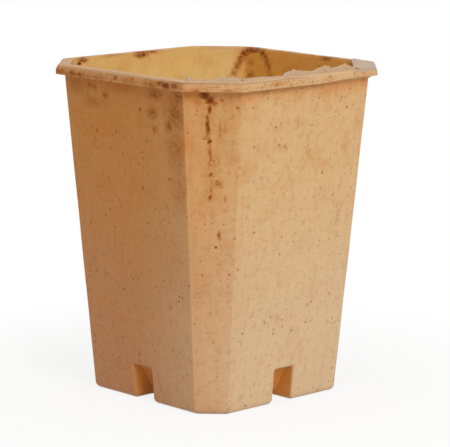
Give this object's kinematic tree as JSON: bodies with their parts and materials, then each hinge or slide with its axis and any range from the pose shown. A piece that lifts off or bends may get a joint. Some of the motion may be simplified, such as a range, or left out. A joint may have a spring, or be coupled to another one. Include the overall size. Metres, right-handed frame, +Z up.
{
  "type": "square seedling pot",
  "caption": "Square tapered seedling pot with cut corners, a flat lip and a drain notch under each side, moulded in fibre-filled bioplastic.",
  "frame": {"origin": "middle of the base, on the ground under the feet", "axes": "+Z up out of the mouth; the side walls face -Y (front), +X (right), +Y (back) and -X (left)"},
  "size_m": [0.08, 0.08, 0.102],
  "materials": {
    "fibre_bioplastic": "smooth moulded, slightly glossy, dark plant-fibre flecks",
    "flash_crust": "thin pale torn edge"
  },
  "bodies": {
    "root": {"rim_collar": "fibre_bioplastic", "wall_front": "fibre_bioplastic", "wall_right": "fibre_bioplastic", "wall_back": "fibre_bioplastic", "wall_left": "fibre_bioplastic", "corner_front_right": "fibre_bioplastic", "corner_back_right": "fibre_bioplastic", "corner_back_left": "fibre_bioplastic", "corner_front_left": "fibre_bioplastic", "drain_arch_front": "fibre_bioplastic", "drain_arch_right": "fibre_bioplastic", "drain_arch_back": "fibre_bioplastic", "drain_arch_left": "fibre_bioplastic", "foot_front_right": "fibre_bioplastic", "foot_back_right": "fibre_bioplastic", "foot_back_left": "fibre_bioplastic", "foot_front_left": "fibre_bioplastic", "floor_cross": "fibre_bioplastic", "flash_right": "flash_crust", "flash_front": "flash_crust", "flash_web": "flash_crust"}
  },
  "joints": []
}
